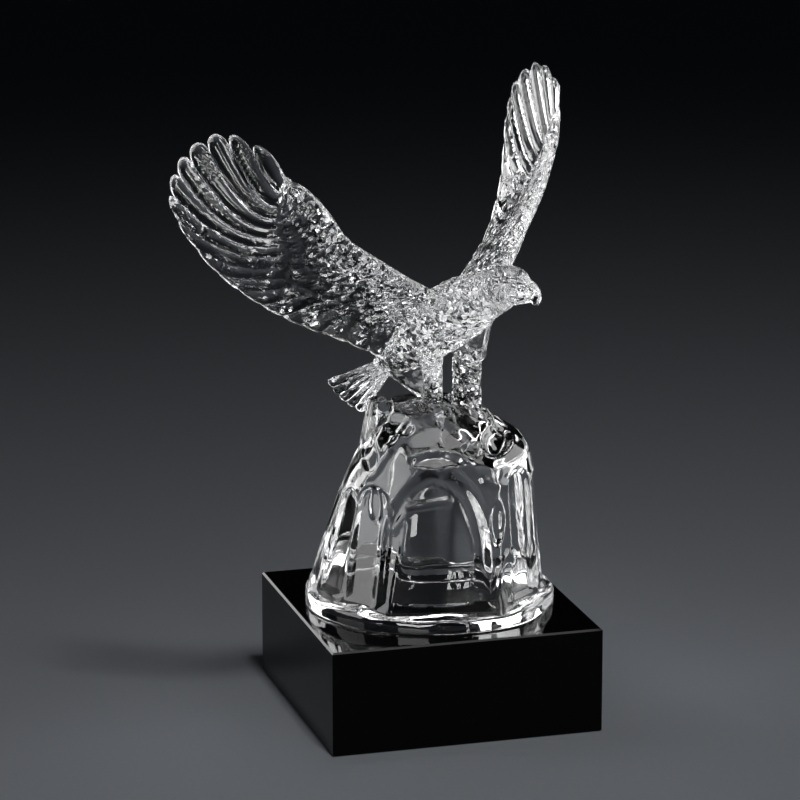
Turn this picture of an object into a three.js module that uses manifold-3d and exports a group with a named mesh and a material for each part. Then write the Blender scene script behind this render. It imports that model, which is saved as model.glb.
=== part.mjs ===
// Clear crystal eagle alighting on a faceted rock, on a square black plinth.
// Millimetres, +Z up, origin at the middle of the plinth's underside.
import * as THREE from 'three';
import { mergeVertices } from 'three/addons/utils/BufferGeometryUtils.js';
import Module from 'manifold-3d';

// Driving dimensions of the plinth
const plinthWidth = 127;
const plinthHeight = 49;
const plinthChamfer = 0.8;
const seatGap = 0.3;

// Driving dimensions of the crystal, which stands on the plinth
const figureHeight = 235;
const eagleHeading = -56;
const wingArmThickness = 7.5;
const wingTipThickness = 2.6;
const tailThickness = 3.4;
const legDiameter = 8.6;
const supportThickness = 6;
const rockFlangeHeight = 7;
const wingFeathers = 17;
const tailFeathers = 10;

// The crystal is a free form: its pose and proportions are shares of its height.
// It is written in hundredths of that height, in the eagle's own directions:
// x forward, y to its left, z up from the plinth's top.
const unit = figureHeight / 100;
const place = ([forward, left, up]) => new THREE.Vector3(forward, left, up).multiplyScalar(unit);
const curveThrough = (points) => new THREE.CatmullRomCurve3(points.map(place), false, 'centripetal');
const mix = THREE.MathUtils.lerp;
const radians = THREE.MathUtils.degToRad;

const wasm = await Module();
wasm.setup();

// A solid for joining and cutting, from a closed geometry
function solidOf(geometry) {
  const bare = geometry.index ? geometry.clone() : mergeVertices(geometry.clone());
  bare.deleteAttribute('normal');
  bare.deleteAttribute('uv');
  const merged = mergeVertices(bare, 1e-4);
  const mesh = new wasm.Mesh({
    numProp: 3,
    vertProperties: new Float32Array(merged.attributes.position.array),
    triVerts: new Uint32Array(merged.index.array),
  });
  return new wasm.Manifold(mesh);
}

function geometryOf(solid) {
  const mesh = solid.getMesh();
  const geometry = new THREE.BufferGeometry();
  geometry.setAttribute('position', new THREE.BufferAttribute(mesh.vertProperties, 3));
  geometry.setIndex(new THREE.BufferAttribute(mesh.triVerts, 1));
  return geometry;
}

// Triangles of a grid whose vertex (row, column) is row * columns + column
function gridTriangles(rows, columns, index) {
  const triangles = [];
  for (let row = 0; row + 1 < rows; row += 1) {
    for (let column = 0; column + 1 < columns; column += 1) {
      const a = index(row, column);
      const b = index(row, column + 1);
      const c = index(row + 1, column + 1);
      const d = index(row + 1, column);
      triangles.push(a, b, c, a, c, d);
    }
  }
  return triangles;
}

function closedGeometry(points, triangles) {
  const geometry = new THREE.BufferGeometry();
  const positions = points.flatMap((point) => point.toArray());
  geometry.setAttribute('position', new THREE.Float32BufferAttribute(positions, 3));
  geometry.setIndex(triangles);
  return geometry;
}

// Closed body through rings of equally many points, with a fan over each end
function loft(rings) {
  const sides = rings[0].length;
  const points = rings.flat();
  const triangles = gridTriangles(rings.length, sides + 1, (row, column) => row * sides + (column % sides));
  const middleOf = (ring) => ring
    .reduce((sum, point) => sum.add(point), new THREE.Vector3())
    .divideScalar(sides);
  const first = points.push(middleOf(rings[0])) - 1;
  const last = points.push(middleOf(rings[rings.length - 1])) - 1;
  const lastRow = (rings.length - 1) * sides;
  for (let side = 0; side < sides; side += 1) {
    const next = (side + 1) % sides;
    triangles.push(first, next, side, last, lastRow + side, lastRow + next);
  }
  return closedGeometry(points, triangles);
}

// Closed plate about a middle surface: point(column, row) and thickness(column, row)
function plate(columns, rows, pointAt, thicknessAt) {
  const middle = [];
  for (const row of rows) {
    middle.push(columns.map((column) => pointAt(column, row)));
  }
  const count = rows.length * columns.length;
  const front = [];
  const back = [];
  rows.forEach((row, r) => columns.forEach((column, c) => {
    const across = middle[r][Math.min(c + 1, columns.length - 1)].clone().sub(middle[r][Math.max(c - 1, 0)]);
    const along = middle[Math.min(r + 1, rows.length - 1)][c].clone().sub(middle[Math.max(r - 1, 0)][c]);
    const normal = across.cross(along).normalize().multiplyScalar(thicknessAt(column, row) / 2);
    front.push(middle[r][c].clone().add(normal));
    back.push(middle[r][c].clone().sub(normal));
  }));
  const at = (r, c) => r * columns.length + c;
  const triangles = gridTriangles(rows.length, columns.length, at);
  const mirroredAt = (r, c) => count + at(r, columns.length - 1 - c);
  triangles.push(...gridTriangles(rows.length, columns.length, mirroredAt));
  const lastRow = rows.length - 1;
  const lastColumn = columns.length - 1;
  const rim = [];
  for (let c = 0; c < lastColumn; c += 1) rim.push(at(0, c));
  for (let r = 0; r < lastRow; r += 1) rim.push(at(r, lastColumn));
  for (let c = lastColumn; c > 0; c -= 1) rim.push(at(lastRow, c));
  for (let r = lastRow; r > 0; r -= 1) rim.push(at(r, 0));
  rim.forEach((here, k) => {
    const next = rim[(k + 1) % rim.length];
    triangles.push(next, here, count + here, next, count + here, count + next);
  });
  return closedGeometry([...front, ...back], triangles);
}

// Share of a tip's reach that is lost beside its middle, for a rounded feather end
const tipFall = (offset) => 1 - Math.sqrt(Math.max(0, 1 - 4 * offset * offset));

// The left wing: the arm runs from the shoulder to the wrist, and each feather line leaves
// the arm, drops to its knee under the coverts and runs out to its tip.
const armLine = curveThrough([
  [9.6, 4.9, 62.9], [9.2, 13.0, 66.7], [6.4, 21.5, 72.7], [4.2, 29.0, 78.4], [2.9, 33.3, 84.4],
  [1.0, 37.2, 88.9], [-1.1, 40.2, 91.0],
]);
const kneeLine = curveThrough([
  [-0.8, 41.0, 91.6], [-3.9, 42.8, 86.1], [-6.9, 42.2, 81.0], [-8.5, 40.7, 76.5], [-8.1, 36.3, 71.6],
  [-6.2, 29.6, 67.4], [-4.7, 21.9, 63.7], [-3.2, 13.9, 60.4], [-1.7, 5.9, 57.2],
]);
const tipLine = curveThrough([
  [-1.9, 43.0, 96.2], [-10.6, 47.4, 99.4], [-18.3, 49.8, 94.5], [-21.1, 50.6, 86.0], [-17.9, 44.5, 73.9],
  [-14.3, 35.7, 65.4], [-12.1, 24.9, 58.7], [-9.8, 13.6, 53.3], [-7.2, 3.4, 47.7],
]);
const wristCrowding = 1.4;
const wingNotch = 0.85 * unit;

// Point of the wing: feather number counted from the first primary, share from arm to tip
function wingPoint(feather, share) {
  const inward = THREE.MathUtils.clamp((feather + 0.5) / wingFeathers, 0, 1);
  const base = armLine.getPointAt(1 - inward ** wristCrowding);
  const knee = kneeLine.getPoint(inward);
  const tip = tipLine.getPoint(inward);
  const pull = knee.multiplyScalar(2).addScaledVector(base, -0.5).addScaledVector(tip, -0.5);
  const notch = (wingNotch / base.distanceTo(tip)) * tipFall(feather - Math.round(feather));
  return new THREE.QuadraticBezierCurve3(base, pull, tip).getPoint(share * (1 - notch * share));
}

function wingThickness(feather, share) {
  const edge = Math.min(1, 0.3 + share * 9);
  const taper = mix(wingArmThickness, wingTipThickness, Math.min(1, share * 1.5) ** 0.7);
  const groove = 0.3 * (1 - Math.abs(Math.cos(Math.PI * feather))) * Math.min(1, share * 3);
  const wrist = mix(0.45, 1, Math.min(1, (feather + 0.5) / 4));
  return taper * edge * wrist * (1 - groove) + (1 - wrist) * wingTipThickness * share;
}

function wing(side) {
  const samples = 4;
  const columns = Array.from({ length: wingFeathers * samples + 1 }, (_, k) => k / samples - 0.5);
  const rows = [0, 0.07, 0.18, 0.33, 0.5, 0.68, 0.85, 1];
  const geometry = plate(columns, rows, wingPoint, wingThickness);
  return side > 0 ? solidOf(geometry) : solidOf(geometry).mirror([0, 1, 0]);
}

// Trunk, neck and head: middle of each section and its half width and half height
const trunkSections = [
  { at: [-11.5, 0, 46.2], width: 3.0, height: 1.9 },
  { at: [-7.7, 0, 48.4], width: 4.7, height: 3.8 },
  { at: [-2.6, 0, 52.4], width: 6.6, height: 5.3 },
  { at: [3.0, 0, 57.0], width: 7.6, height: 6.2 },
  { at: [8.5, 0, 60.6], width: 7.2, height: 6.0 },
  { at: [12.4, 0.4, 62.9], width: 5.4, height: 4.9 },
  { at: [15.1, 1.2, 64.5], width: 4.4, height: 4.4 },
  { at: [17.3, 2.0, 65.7], width: 4.1, height: 4.2 },
  { at: [19.2, 3.3, 65.6], width: 3.3, height: 3.5 },
  { at: [20.8, 4.4, 64.9], width: 1.7, height: 1.9 },
];

function trunk() {
  const line = curveThrough(trunkSections.map((section) => section.at));
  const sides = 16;
  const stepsPerSection = 2;
  const last = trunkSections.length - 1;
  const rings = [];
  for (let step = 0; step <= last * stepsPerSection; step += 1) {
    const along = step / (last * stepsPerSection);
    const k = Math.min(last - 1, Math.floor(step / stepsPerSection));
    const within = step / stepsPerSection - k;
    const width = mix(trunkSections[k].width, trunkSections[k + 1].width, within) * unit;
    const height = mix(trunkSections[k].height, trunkSections[k + 1].height, within) * unit;
    const tangent = line.getTangent(along);
    const across = new THREE.Vector3(-tangent.y, tangent.x, 0).normalize();
    const above = tangent.clone().cross(across);
    const middle = line.getPoint(along);
    rings.push(Array.from({ length: sides }, (_, side) => {
      const angle = (2 * Math.PI * side) / sides;
      return middle.clone()
        .addScaledVector(across, width * Math.cos(angle))
        .addScaledVector(above, height * Math.sin(angle));
    }));
  }
  return solidOf(loft(rings));
}

// The spread tail, cupped: its outer feathers stand higher than the middle ones
const tailRoot = place([-9.2, 0, 47.4]);
const tailMiddleTip = place([-16.8, 0, 35.2]);
const tailOuterTip = place([-20.6, 6.6, 42.6]);
const tailNotch = 0.7 * unit;
const tailRootHalf = 1.6 * unit;

function tail() {
  const samples = 4;
  const half = tailFeathers / 2;
  const columns = Array.from({ length: tailFeathers * samples + 1 }, (_, k) => k / samples - half);
  const rows = [0, 0.3, 0.55, 0.8, 1];
  const middle = tailMiddleTip.clone().sub(tailRoot);
  const pointAt = (feather, share) => {
    const outward = feather / half;
    const outer = tailOuterTip.clone().sub(tailRoot);
    outer.y *= Math.sign(outward);
    const ray = middle.clone().lerp(outer, Math.abs(outward));
    ray.setLength(mix(middle.length(), outer.length(), Math.abs(outward)));
    const notch = (tailNotch / ray.length()) * tipFall(feather - Math.floor(feather) - 0.5);
    const aside = new THREE.Vector3(0, outward * tailRootHalf * (1 - share), 0);
    return tailRoot.clone().add(aside).addScaledVector(ray, share * (1 - notch));
  };
  return solidOf(plate(columns, rows, pointAt, (feather, share) => tailThickness * mix(1.5, 0.75, share)));
}

// Body of round sections along a line: { at, radius }, the radius in millimetres
function limb(sections, sides = 10) {
  const points = sections.map((section) => place(section.at));
  const rings = points.map((middle, k) => {
    const before = points[Math.max(k - 1, 0)];
    const after = points[Math.min(k + 1, points.length - 1)];
    const tangent = after.clone().sub(before).normalize();
    const across = new THREE.Vector3(0, 1, 0).addScaledVector(tangent, -tangent.y).normalize();
    const ahead = across.clone().cross(tangent);
    const deep = sections[k].radius * (sections[k].stretch ?? 1);
    return Array.from({ length: sides }, (_, side) => {
      const angle = (2 * Math.PI * side) / sides;
      return middle.clone()
        .addScaledVector(ahead, deep * Math.cos(angle))
        .addScaledVector(across, sections[k].radius * Math.sin(angle));
    });
  });
  return solidOf(loft(rings));
}

// The hooked beak, turned with the head
function beak() {
  return limb([
    { at: [19.0, 3.2, 65.4], radius: 2.4 * unit },
    { at: [20.8, 4.5, 65.0], radius: 1.8 * unit },
    { at: [21.9, 5.3, 64.3], radius: 1.2 * unit },
    { at: [22.2, 5.6, 63.2], radius: 0.75 * unit },
    { at: [21.7, 5.4, 62.2], radius: 0.3 * unit },
  ]);
}

// How far each leg stands from the middle, in hundredths of the height
const legAside = 3.8;

// Sections of the legs from the thigh down to the foot: forward and height in hundredths of the
// figure's height, half width as a share of the leg's radius, and how much deeper than wide
const rightLeg = [
  { forward: 1.4, up: 57.0, share: 1.5, stretch: 1.5 },
  { forward: 2.6, up: 53.5, share: 1.3, stretch: 1.4 },
  { forward: 3.4, up: 50.5, share: 1.15, stretch: 1.2 },
  { forward: 3.9, up: 47.5, share: 1.0, stretch: 1.0 },
  { forward: 4.1, up: 43.0, share: 0.95, stretch: 1.0 },
  { forward: 4.0, up: 38.5, share: 1.2, stretch: 1.0 },
];
const leftLeg = [
  { forward: 8.2, up: 60.0, share: 0.9, stretch: 2.9 },
  { forward: 7.6, up: 56.5, share: 0.8, stretch: 3.0 },
  { forward: 7.0, up: 52.5, share: 0.8, stretch: 2.6 },
  { forward: 6.4, up: 49.5, share: 1.0, stretch: 1.8 },
  { forward: 6.3, up: 45.0, share: 1.1, stretch: 1.55 },
  { forward: 6.4, up: 38.0, share: 1.2, stretch: 1.6 },
];

function leg(side, sections) {
  return limb(sections.map(({ forward, up, share, stretch }) => ({
    at: [forward, side * legAside, up],
    radius: (legDiameter / 2) * share,
    stretch,
  })));
}

// A foot: three toes spread forward and one back, each ending in a claw.
// The slope is the fall of the stone that it grips.
function foot(side, { forward, up, slope }) {
  const toeRadius = legDiameter * 0.26;
  const left = side * legAside;
  const toes = [-32, 0, 32, 180].map((bearing) => {
    const along = Math.cos(radians(bearing));
    const aside = Math.sin(radians(bearing));
    const at = (reach, drop) => [
      forward + along * reach,
      left + aside * reach,
      up - drop - slope * reach * along,
    ];
    return limb([
      { at: at(0.3, 0.6), radius: toeRadius },
      { at: at(2.4, 0.2), radius: toeRadius * 1.15 },
      { at: at(4.4, 1.1), radius: toeRadius * 0.9 },
      { at: at(5.6, 2.8), radius: toeRadius * 0.45 },
    ], 7);
  });
  return wasm.Manifold.union(toes);
}

// The clear web behind the legs: its foot stands on the rock and its underside climbs to the tail
function support() {
  const outline = [
    [-11.2, 44.6], [-9.4, 47.6], [-6.0, 50.0], [2.0, 54.0], [5.2, 50.0],
    [4.4, 44.0], [4.0, 37.0], [-0.8, 37.0], [-1.6, 40.9], [-7.4, 43.1],
  ];
  const shape = new THREE.Shape(outline.map(([forward, up]) => new THREE.Vector2(forward * unit, up * unit)));
  const geometry = new THREE.ExtrudeGeometry(shape, { depth: supportThickness, bevelEnabled: false });
  geometry.translate(0, 0, -supportThickness / 2);
  geometry.rotateX(Math.PI / 2);
  return solidOf(geometry);
}

// The rock: a domed cone whose sides are cut to leaning flats with arched tops
const rockProfile = [
  [0, 0], [23.9, 0], [23.7, 5.5], [22.4, 14], [20.9, 25.5], [19.6, 32], [17.5, 35.4], [13, 38.6], [7, 40.1],
  [0, 40.4],
];
const facing = -50;
// Bearing from the side that faces the viewer, reach at the foot and lean from the vertical.
// Each flat has an arched window pressed into it: half its width and the height of its top.
const rockSides = [
  { bearing: 4, reach: 19.6, lean: 5, half: 8.8, top: 28 },
  { bearing: -38, reach: 20.8, lean: 10, half: 4.2, top: 24 },
  { bearing: -63, reach: 22.2, lean: 15, half: 3.4, top: 22 },
  { bearing: -88, reach: 23.8, lean: 19, half: 3.6, top: 20 },
  { bearing: -118, reach: 22.2, lean: 16, half: 4.0, top: 22 },
  { bearing: -146, reach: 20.4, lean: 9, half: 4.4, top: 25 },
  { bearing: 187, reach: 19.4, lean: 6, half: 4.6, top: 26 },
  { bearing: 158, reach: 19.8, lean: 5, half: 4.2, top: 25 },
  { bearing: 130, reach: 20.2, lean: 6, half: 4.2, top: 26 },
  { bearing: 104, reach: 21.2, lean: 5, half: 3.6, top: 26 },
  { bearing: 80, reach: 23.4, lean: 6, half: 3.2, top: 25 },
  { bearing: 57, reach: 21.8, lean: 4, half: 3.6, top: 27 },
];
// How deep the windows are pressed in, and the height of their foot above the flange, in hundredths
const windowDepth = 1.2;
const windowFoot = 1.5;
// the slopes round the top: reach at the shoulder's height and lean
const rockShoulder = 32;
const rockSlopes = [
  { bearing: 6, reach: 17.2, lean: 50 }, { bearing: 48, reach: 19.0, lean: 54 },
  { bearing: 90, reach: 19.6, lean: 57 }, { bearing: 134, reach: 18.4, lean: 52 },
  { bearing: 180, reach: 17.4, lean: 50 }, { bearing: -140, reach: 16.8, lean: 48 },
  { bearing: -42, reach: 16.2, lean: 44 }, { bearing: -88, reach: 12.4, lean: 32 },
];

// Leans a body that lies beyond x = 0 onto its flat
function ontoFlat(body, { bearing, reach, lean }, height) {
  body.rotateY(-radians(lean));
  body.translate(reach * unit, 0, height);
  body.rotateZ(radians(bearing + facing));
  return solidOf(body);
}

function flatCut(cut, height) {
  const block = new THREE.BoxGeometry(figureHeight, figureHeight, 2 * figureHeight);
  block.translate(figureHeight / 2, 0, 0);
  return ontoFlat(block, cut, height);
}

function windowCut(side) {
  const half = side.half * unit;
  const spring = side.top * unit - half;
  const foot = windowFoot * unit;
  const outline = new THREE.Shape([new THREE.Vector2(-half, foot), new THREE.Vector2(half, foot)]);
  outline.absarc(0, spring, half, 0, Math.PI);
  const block = new THREE.ExtrudeGeometry(outline, {
    depth: figureHeight,
    bevelEnabled: false,
    curveSegments: 6,
  });
  block.translate(0, 0, -windowDepth);
  const ahead = new THREE.Vector3(1, 0, 0);
  const left = new THREE.Vector3(0, 1, 0);
  const up = new THREE.Vector3(0, 0, 1);
  block.applyMatrix4(new THREE.Matrix4().makeBasis(left, up, ahead));
  return ontoFlat(block, side, rockFlangeHeight);
}

// The foot of the rock: a low flange with a wavy outline, rounded above.
// Its section goes by share of its reach and share of its height.
const flangeReach = 23.9 * unit;
const flangeSection = [[0.985, 0], [1, 0.12], [1, 0.6], [0.98, 0.85], [0.93, 1.03], [0.8, 1.3]];
const roundSteps = 40;

function flange() {
  const waves = (angle) => 1 - 0.022 * Math.cos(2 * (angle - radians(facing)))
    + 0.01 * Math.cos(5 * angle + 1) + 0.008 * Math.cos(9 * angle);
  const rings = flangeSection.map(([inward, rise]) => Array.from({ length: roundSteps }, (_, k) => {
    const angle = (2 * Math.PI * k) / roundSteps;
    const reach = flangeReach * inward * waves(angle);
    return new THREE.Vector3(reach * Math.cos(angle), reach * Math.sin(angle), rockFlangeHeight * rise);
  }));
  return solidOf(loft(rings));
}

// The small point at the rock's left: a seven-sided cone
const knobFoot = 4.4 * unit;
const knobTop = 1.9 * unit;
const knobHeight = 13 * unit;
const knobAway = 10.1 * unit;
const knobMiddle = 34 * unit;
const knobBearing = -101;

function knob() {
  const cone = new THREE.CylinderGeometry(knobTop, knobFoot, knobHeight, 7);
  cone.rotateX(Math.PI / 2);
  cone.translate(knobAway, 0, knobMiddle);
  cone.rotateZ(radians(facing + knobBearing));
  return solidOf(cone);
}

function rock() {
  const profile = rockProfile.map(([radius, height]) => new THREE.Vector2(radius * unit, height * unit));
  const dome = new THREE.LatheGeometry(profile, roundSteps);
  dome.rotateX(Math.PI / 2);
  const sides = rockSides.map((cut) => flatCut(cut, rockFlangeHeight));
  const slopes = rockSlopes.map((cut) => flatCut(cut, rockShoulder * unit));
  const windows = rockSides.map(windowCut);
  const cone = solidOf(dome).subtract(wasm.Manifold.union([...sides, ...slopes, ...windows]));
  return wasm.Manifold.union([cone, flange(), knob()]);
}

function crystal() {
  const rightFoot = { forward: 4.1, up: 41.2, slope: 0.1 };
  const leftFoot = { forward: 6.4, up: 40.2, slope: 0.4 };
  const figure = wasm.Manifold.union([
    wing(1), wing(-1), trunk(), beak(), tail(), support(), rock(),
    leg(-1, rightLeg), leg(1, leftLeg), foot(-1, rightFoot), foot(1, leftFoot),
  ]);
  return geometryOf(figure);
}

function plinth() {
  const half = plinthWidth / 2 - plinthChamfer;
  const corners = [[-half, -half], [half, -half], [half, half], [-half, half]];
  const outline = new THREE.Shape(corners.map(([x, y]) => new THREE.Vector2(x, y)));
  const geometry = new THREE.ExtrudeGeometry(outline, {
    depth: plinthHeight - 2 * plinthChamfer,
    bevelThickness: plinthChamfer,
    bevelSize: plinthChamfer,
    bevelSegments: 1,
  });
  geometry.translate(0, 0, plinthChamfer);
  return geometry;
}

const clearCrystal = new THREE.MeshStandardMaterial({ color: 0xf4f7fa, roughness: 0.02, metalness: 0 });
const blackCrystal = new THREE.MeshStandardMaterial({ color: 0x050506, roughness: 0.05, metalness: 0 });

const sculpture = new THREE.Group();

const blackPlinth = new THREE.Mesh(plinth(), blackCrystal);
blackPlinth.name = 'black_plinth';
sculpture.add(blackPlinth);

const crystalEagle = new THREE.Mesh(crystal(), clearCrystal);
crystalEagle.name = 'crystal_eagle_and_rock';
crystalEagle.position.z = plinthHeight + seatGap;
crystalEagle.rotation.z = radians(eagleHeading);
sculpture.add(crystalEagle);

export default sculpture;
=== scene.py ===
"""A clear crystal eagle alighting on a rock, on a polished black plinth."""
import bpy
import numpy as np
from mathutils import Matrix, Vector


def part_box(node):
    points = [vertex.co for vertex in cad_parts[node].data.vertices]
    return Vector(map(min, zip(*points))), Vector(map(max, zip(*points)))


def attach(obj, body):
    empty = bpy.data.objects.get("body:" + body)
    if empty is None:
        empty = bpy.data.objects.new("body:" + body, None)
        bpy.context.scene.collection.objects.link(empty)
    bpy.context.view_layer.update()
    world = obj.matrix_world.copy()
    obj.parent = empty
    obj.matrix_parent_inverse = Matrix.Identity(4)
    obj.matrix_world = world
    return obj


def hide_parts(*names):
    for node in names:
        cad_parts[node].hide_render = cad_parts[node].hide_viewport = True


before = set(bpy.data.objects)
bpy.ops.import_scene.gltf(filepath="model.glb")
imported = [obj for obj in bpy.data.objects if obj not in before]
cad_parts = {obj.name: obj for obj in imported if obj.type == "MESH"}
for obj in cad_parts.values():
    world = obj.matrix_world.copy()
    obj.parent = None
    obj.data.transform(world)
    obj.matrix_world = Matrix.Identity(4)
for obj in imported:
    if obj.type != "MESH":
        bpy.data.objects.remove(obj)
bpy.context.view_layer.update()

# The figure is drawn in hundredths of its height, in the eagle's own directions:
# x forward, y to its left, z up from the plinth's top. UNIT turns that into metres.
FIGURE_HEIGHT = 0.235
UNIT = FIGURE_HEIGHT / 100
MM = 0.001 / UNIT
HEADING = np.radians(-56)
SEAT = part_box("crystal_eagle_and_rock")[0][2]


# curves and closed skins

def smooth_step(low, high, value):
    """0 below low, 1 above high, and 3t^2 - 2t^3 between them."""
    t = np.clip((value - low) / (high - low), 0, 1)
    return t * t * (3 - 2 * t)


def unit_vectors(vectors):
    """Each vector divided by its own length."""
    return vectors / np.maximum(np.linalg.norm(vectors, axis=-1, keepdims=True), 1e-12)


def curve(points, share):
    """Centripetal Catmull-Rom curve through the points: between two neighbours it is the cubic
    whose end slopes come from the points on either side, each knot the square root of its chord."""
    points = np.asarray(points, float)
    spans = len(points) - 1
    place = np.clip(share, 0, 1) * spans
    k = np.minimum(place.astype(int), spans - 1)
    t = (place - k)[..., None]
    padded = np.vstack([2 * points[0] - points[1], points, 2 * points[-1] - points[-2]])
    before, start, end, after = (padded[k + step] for step in range(4))
    knot = lambda a, b: np.sum((b - a) ** 2, axis=-1, keepdims=True) ** 0.25
    d0, d1, d2 = knot(before, start), knot(start, end), knot(end, after)
    slope_in = ((start - before) / d0 - (end - before) / (d0 + d1) + (end - start) / d1) * d1
    slope_out = ((end - start) / d1 - (after - start) / (d1 + d2) + (after - end) / d2) * d1
    return (start + slope_in * t + (3 * (end - start) - 2 * slope_in - slope_out) * t ** 2
            + (2 * (start - end) + slope_in + slope_out) * t ** 3)


def curve_by_length(points, share):
    """The same curve with share measured along its length, from the summed chords of 400 steps."""
    steps = np.linspace(0, 1, 401)
    chords = np.linalg.norm(np.diff(curve(points, steps), axis=0), axis=1)
    travelled = np.concatenate([[0], np.cumsum(chords)])
    return curve(points, np.interp(share, travelled / travelled[-1], steps))


def through(places, values, at):
    """Values blended in a straight line between one place and the next."""
    k = np.clip(np.searchsorted(places, at, side="right") - 1, 0, len(places) - 2)
    places, values = np.asarray(places, float), np.asarray(values, float)
    t = np.clip((at - places[k]) / (places[k + 1] - places[k]), 0, 1)
    return values[k] + (values[k + 1] - values[k]) * t


def skin(rings):
    """Closed skin over rings (ring, step, xyz) whose steps run round and whose ends close on their
    mean point: quads between neighbours and a fan over each end, turned out if the volume is negative."""
    rows, steps = rings.shape[:2]
    points = np.vstack([rings.reshape(-1, 3), rings[0].mean(0), rings[-1].mean(0)])
    row, step = np.meshgrid(np.arange(rows - 1), np.arange(steps), indexing="ij")
    after = (step + 1) % steps
    a, b = row * steps + step, row * steps + after
    c, d = b + steps, a + steps
    sides = np.concatenate([np.stack([a, b, c], -1).reshape(-1, 3), np.stack([a, c, d], -1).reshape(-1, 3)])
    here = np.arange(steps)
    ahead = (here + 1) % steps
    first = np.stack([np.full(steps, rows * steps), ahead, here], -1)
    last_row = (rows - 1) * steps
    last = np.stack([np.full(steps, rows * steps + 1), last_row + here, last_row + ahead], -1)
    faces = np.concatenate([sides, first, last])
    corners = points[faces]
    volume = np.einsum("ij,ij->", corners[:, 0], np.cross(corners[:, 1], corners[:, 2]))
    return points, faces if volume > 0 else faces[:, ::-1]


def rounded_edge(reach):
    """Quarter circle from 0 at the edge to 1 inside it: sqrt(1 - (1 - reach)^2)."""
    return np.sqrt(np.clip(1 - (1 - np.clip(reach, 0, 1)) ** 2, 0, 1))


def squared_off(value, power):
    """The value's size raised to a power with its sign kept, which squares a circle off below 1."""
    return np.sign(value) * np.abs(value) ** power


def two_faced(front, rear):
    """One loop out along the front face and back along the rear one."""
    return np.concatenate([front, rear[:, -2:0:-1]], axis=1)


def mirrored(points):
    """The same points on the eagle's other side: y turned to -y."""
    return points * np.array([1, -1, 1])


def directions(tall, turn):
    """Unit vectors by their height angle and turn: cos tall cos turn, cos tall sin turn, sin tall."""
    return np.stack([np.cos(tall) * np.cos(turn), np.cos(tall) * np.sin(turn), np.sin(tall) + 0 * turn], -1)


def feather_tiles(row, column, drop=0.16):
    """Feathers laid like roof tiles: each one rises from 0 along its row to 1 at its rounded end,
    (1 - 0.45 side^2) of the way, then drops within the given share; every second row is shifted by
    half a feather, and each is crowned across by the square root of 1 - 0.75 side^2."""
    k = np.floor(row)
    along = row - k
    shifted = column + 0.5 * (k % 2)
    side = 2 * np.abs(shifted - np.floor(shifted) - 0.5)
    end = 1 - drop - 0.45 * side ** 2
    rise = np.where(along < end, along / end, 1 - (along - end) / drop)
    return np.clip(rise, 0, 1) * np.sqrt(1 - 0.75 * side ** 2)


def ripple(points, pitch, seed):
    """Sum of six sine waves in fixed mixed directions, each about one pitch long, between -1 and 1."""
    turn = np.random.default_rng(seed)
    waves = unit_vectors(turn.normal(size=(6, 3))) * (2 * np.pi / pitch) * turn.uniform(0.7, 1.3, (6, 1))
    return np.sin(points @ waves.T + turn.uniform(0, 6.28, 6)).sum(-1) / 6


# wings

# the left wing's lines: along the arm from the trunk to the wrist, through the bends of the feathers
# from the first one inwards, and along their tips; then how far the arm's own end dips
ARM = [[9.6, 4.9, 62.9], [9.2, 13.0, 66.7], [6.4, 21.5, 72.7], [4.2, 29.0, 78.4], [2.9, 33.3, 84.4],
       [1.0, 37.2, 88.9], [-1.1, 40.2, 91.0]]
KNEE = [[-0.8, 41.0, 91.6], [-3.9, 42.8, 86.1], [-6.9, 42.2, 81.0], [-8.5, 40.7, 76.5], [-8.1, 36.3, 71.6],
        [-6.2, 29.6, 67.4], [-4.7, 21.9, 63.7], [-3.2, 13.9, 60.4], [-1.7, 5.9, 57.2]]
TIPS = [[-1.9, 43.0, 96.2], [-10.6, 47.4, 99.4], [-18.3, 49.8, 94.5], [-21.1, 50.6, 86.0],
        [-17.9, 44.5, 73.9], [-14.3, 35.7, 65.4], [-12.1, 24.9, 58.7], [-9.8, 13.6, 53.3], [-7.2, 3.4, 47.7]]
ARM_DIP = np.array([0.3, -3.4, -2.6])
WING_FEATHERS = 17
ARM_THICKNESS = 7.5 * MM
TIP_THICKNESS = 2.6 * MM
RIDGE_HEIGHT = 0.9 * MM
COVERT_HEIGHT = 0.7 * MM
VANE_HEIGHT = 0.2 * MM
BARB_HEIGHT = 0.24 * MM
COVERT_ROWS = 3.4
ROOT_SHARE = 0.045
TIP_SHARE = 0.03


def wing_middle(feather, share):
    """Middle surface of the left wing: each feather line is a quadratic curve from the arm through
    its knee to its tip, and its end is rounded by the circle 1 - sqrt(1 - 4 offset^2). The arm's own
    end dips into the trunk."""
    inward = np.clip((feather + 0.5) / WING_FEATHERS, 0, 1)
    base = curve_by_length(ARM, 1 - inward ** 1.4)
    base = base + smooth_step(0.86, 1.0, inward)[..., None] * ARM_DIP
    knee, tip = curve(KNEE, inward), curve(TIPS, inward)
    pull = 2 * knee - base / 2 - tip / 2
    offset = feather - np.round(feather)
    fall = 1 - np.sqrt(np.maximum(0, 1 - 4 * offset ** 2))
    deep = 1.0 - 0.5 * smooth_step(7.0, 10.0, feather)
    notch = deep * fall / np.linalg.norm(tip - base, axis=-1)
    t = share * (1 - notch * share)
    t = t[..., None]
    return base * (1 - t) ** 2 + 2 * pull * t * (1 - t) + tip * t ** 2


def covered_share(feather):
    """How much of each feather's length the coverts overlap: 0.34 on the hand, 0.54 by the trunk."""
    return 0.34 + 0.20 * smooth_step(6, 10, feather)


def flight_share(feather, share):
    """0 on the coverts that overlap the feathers' roots and 1 on the flight feathers beyond them."""
    covered = covered_share(feather)
    return smooth_step(covered - 0.02, covered + 0.05, share)


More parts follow.
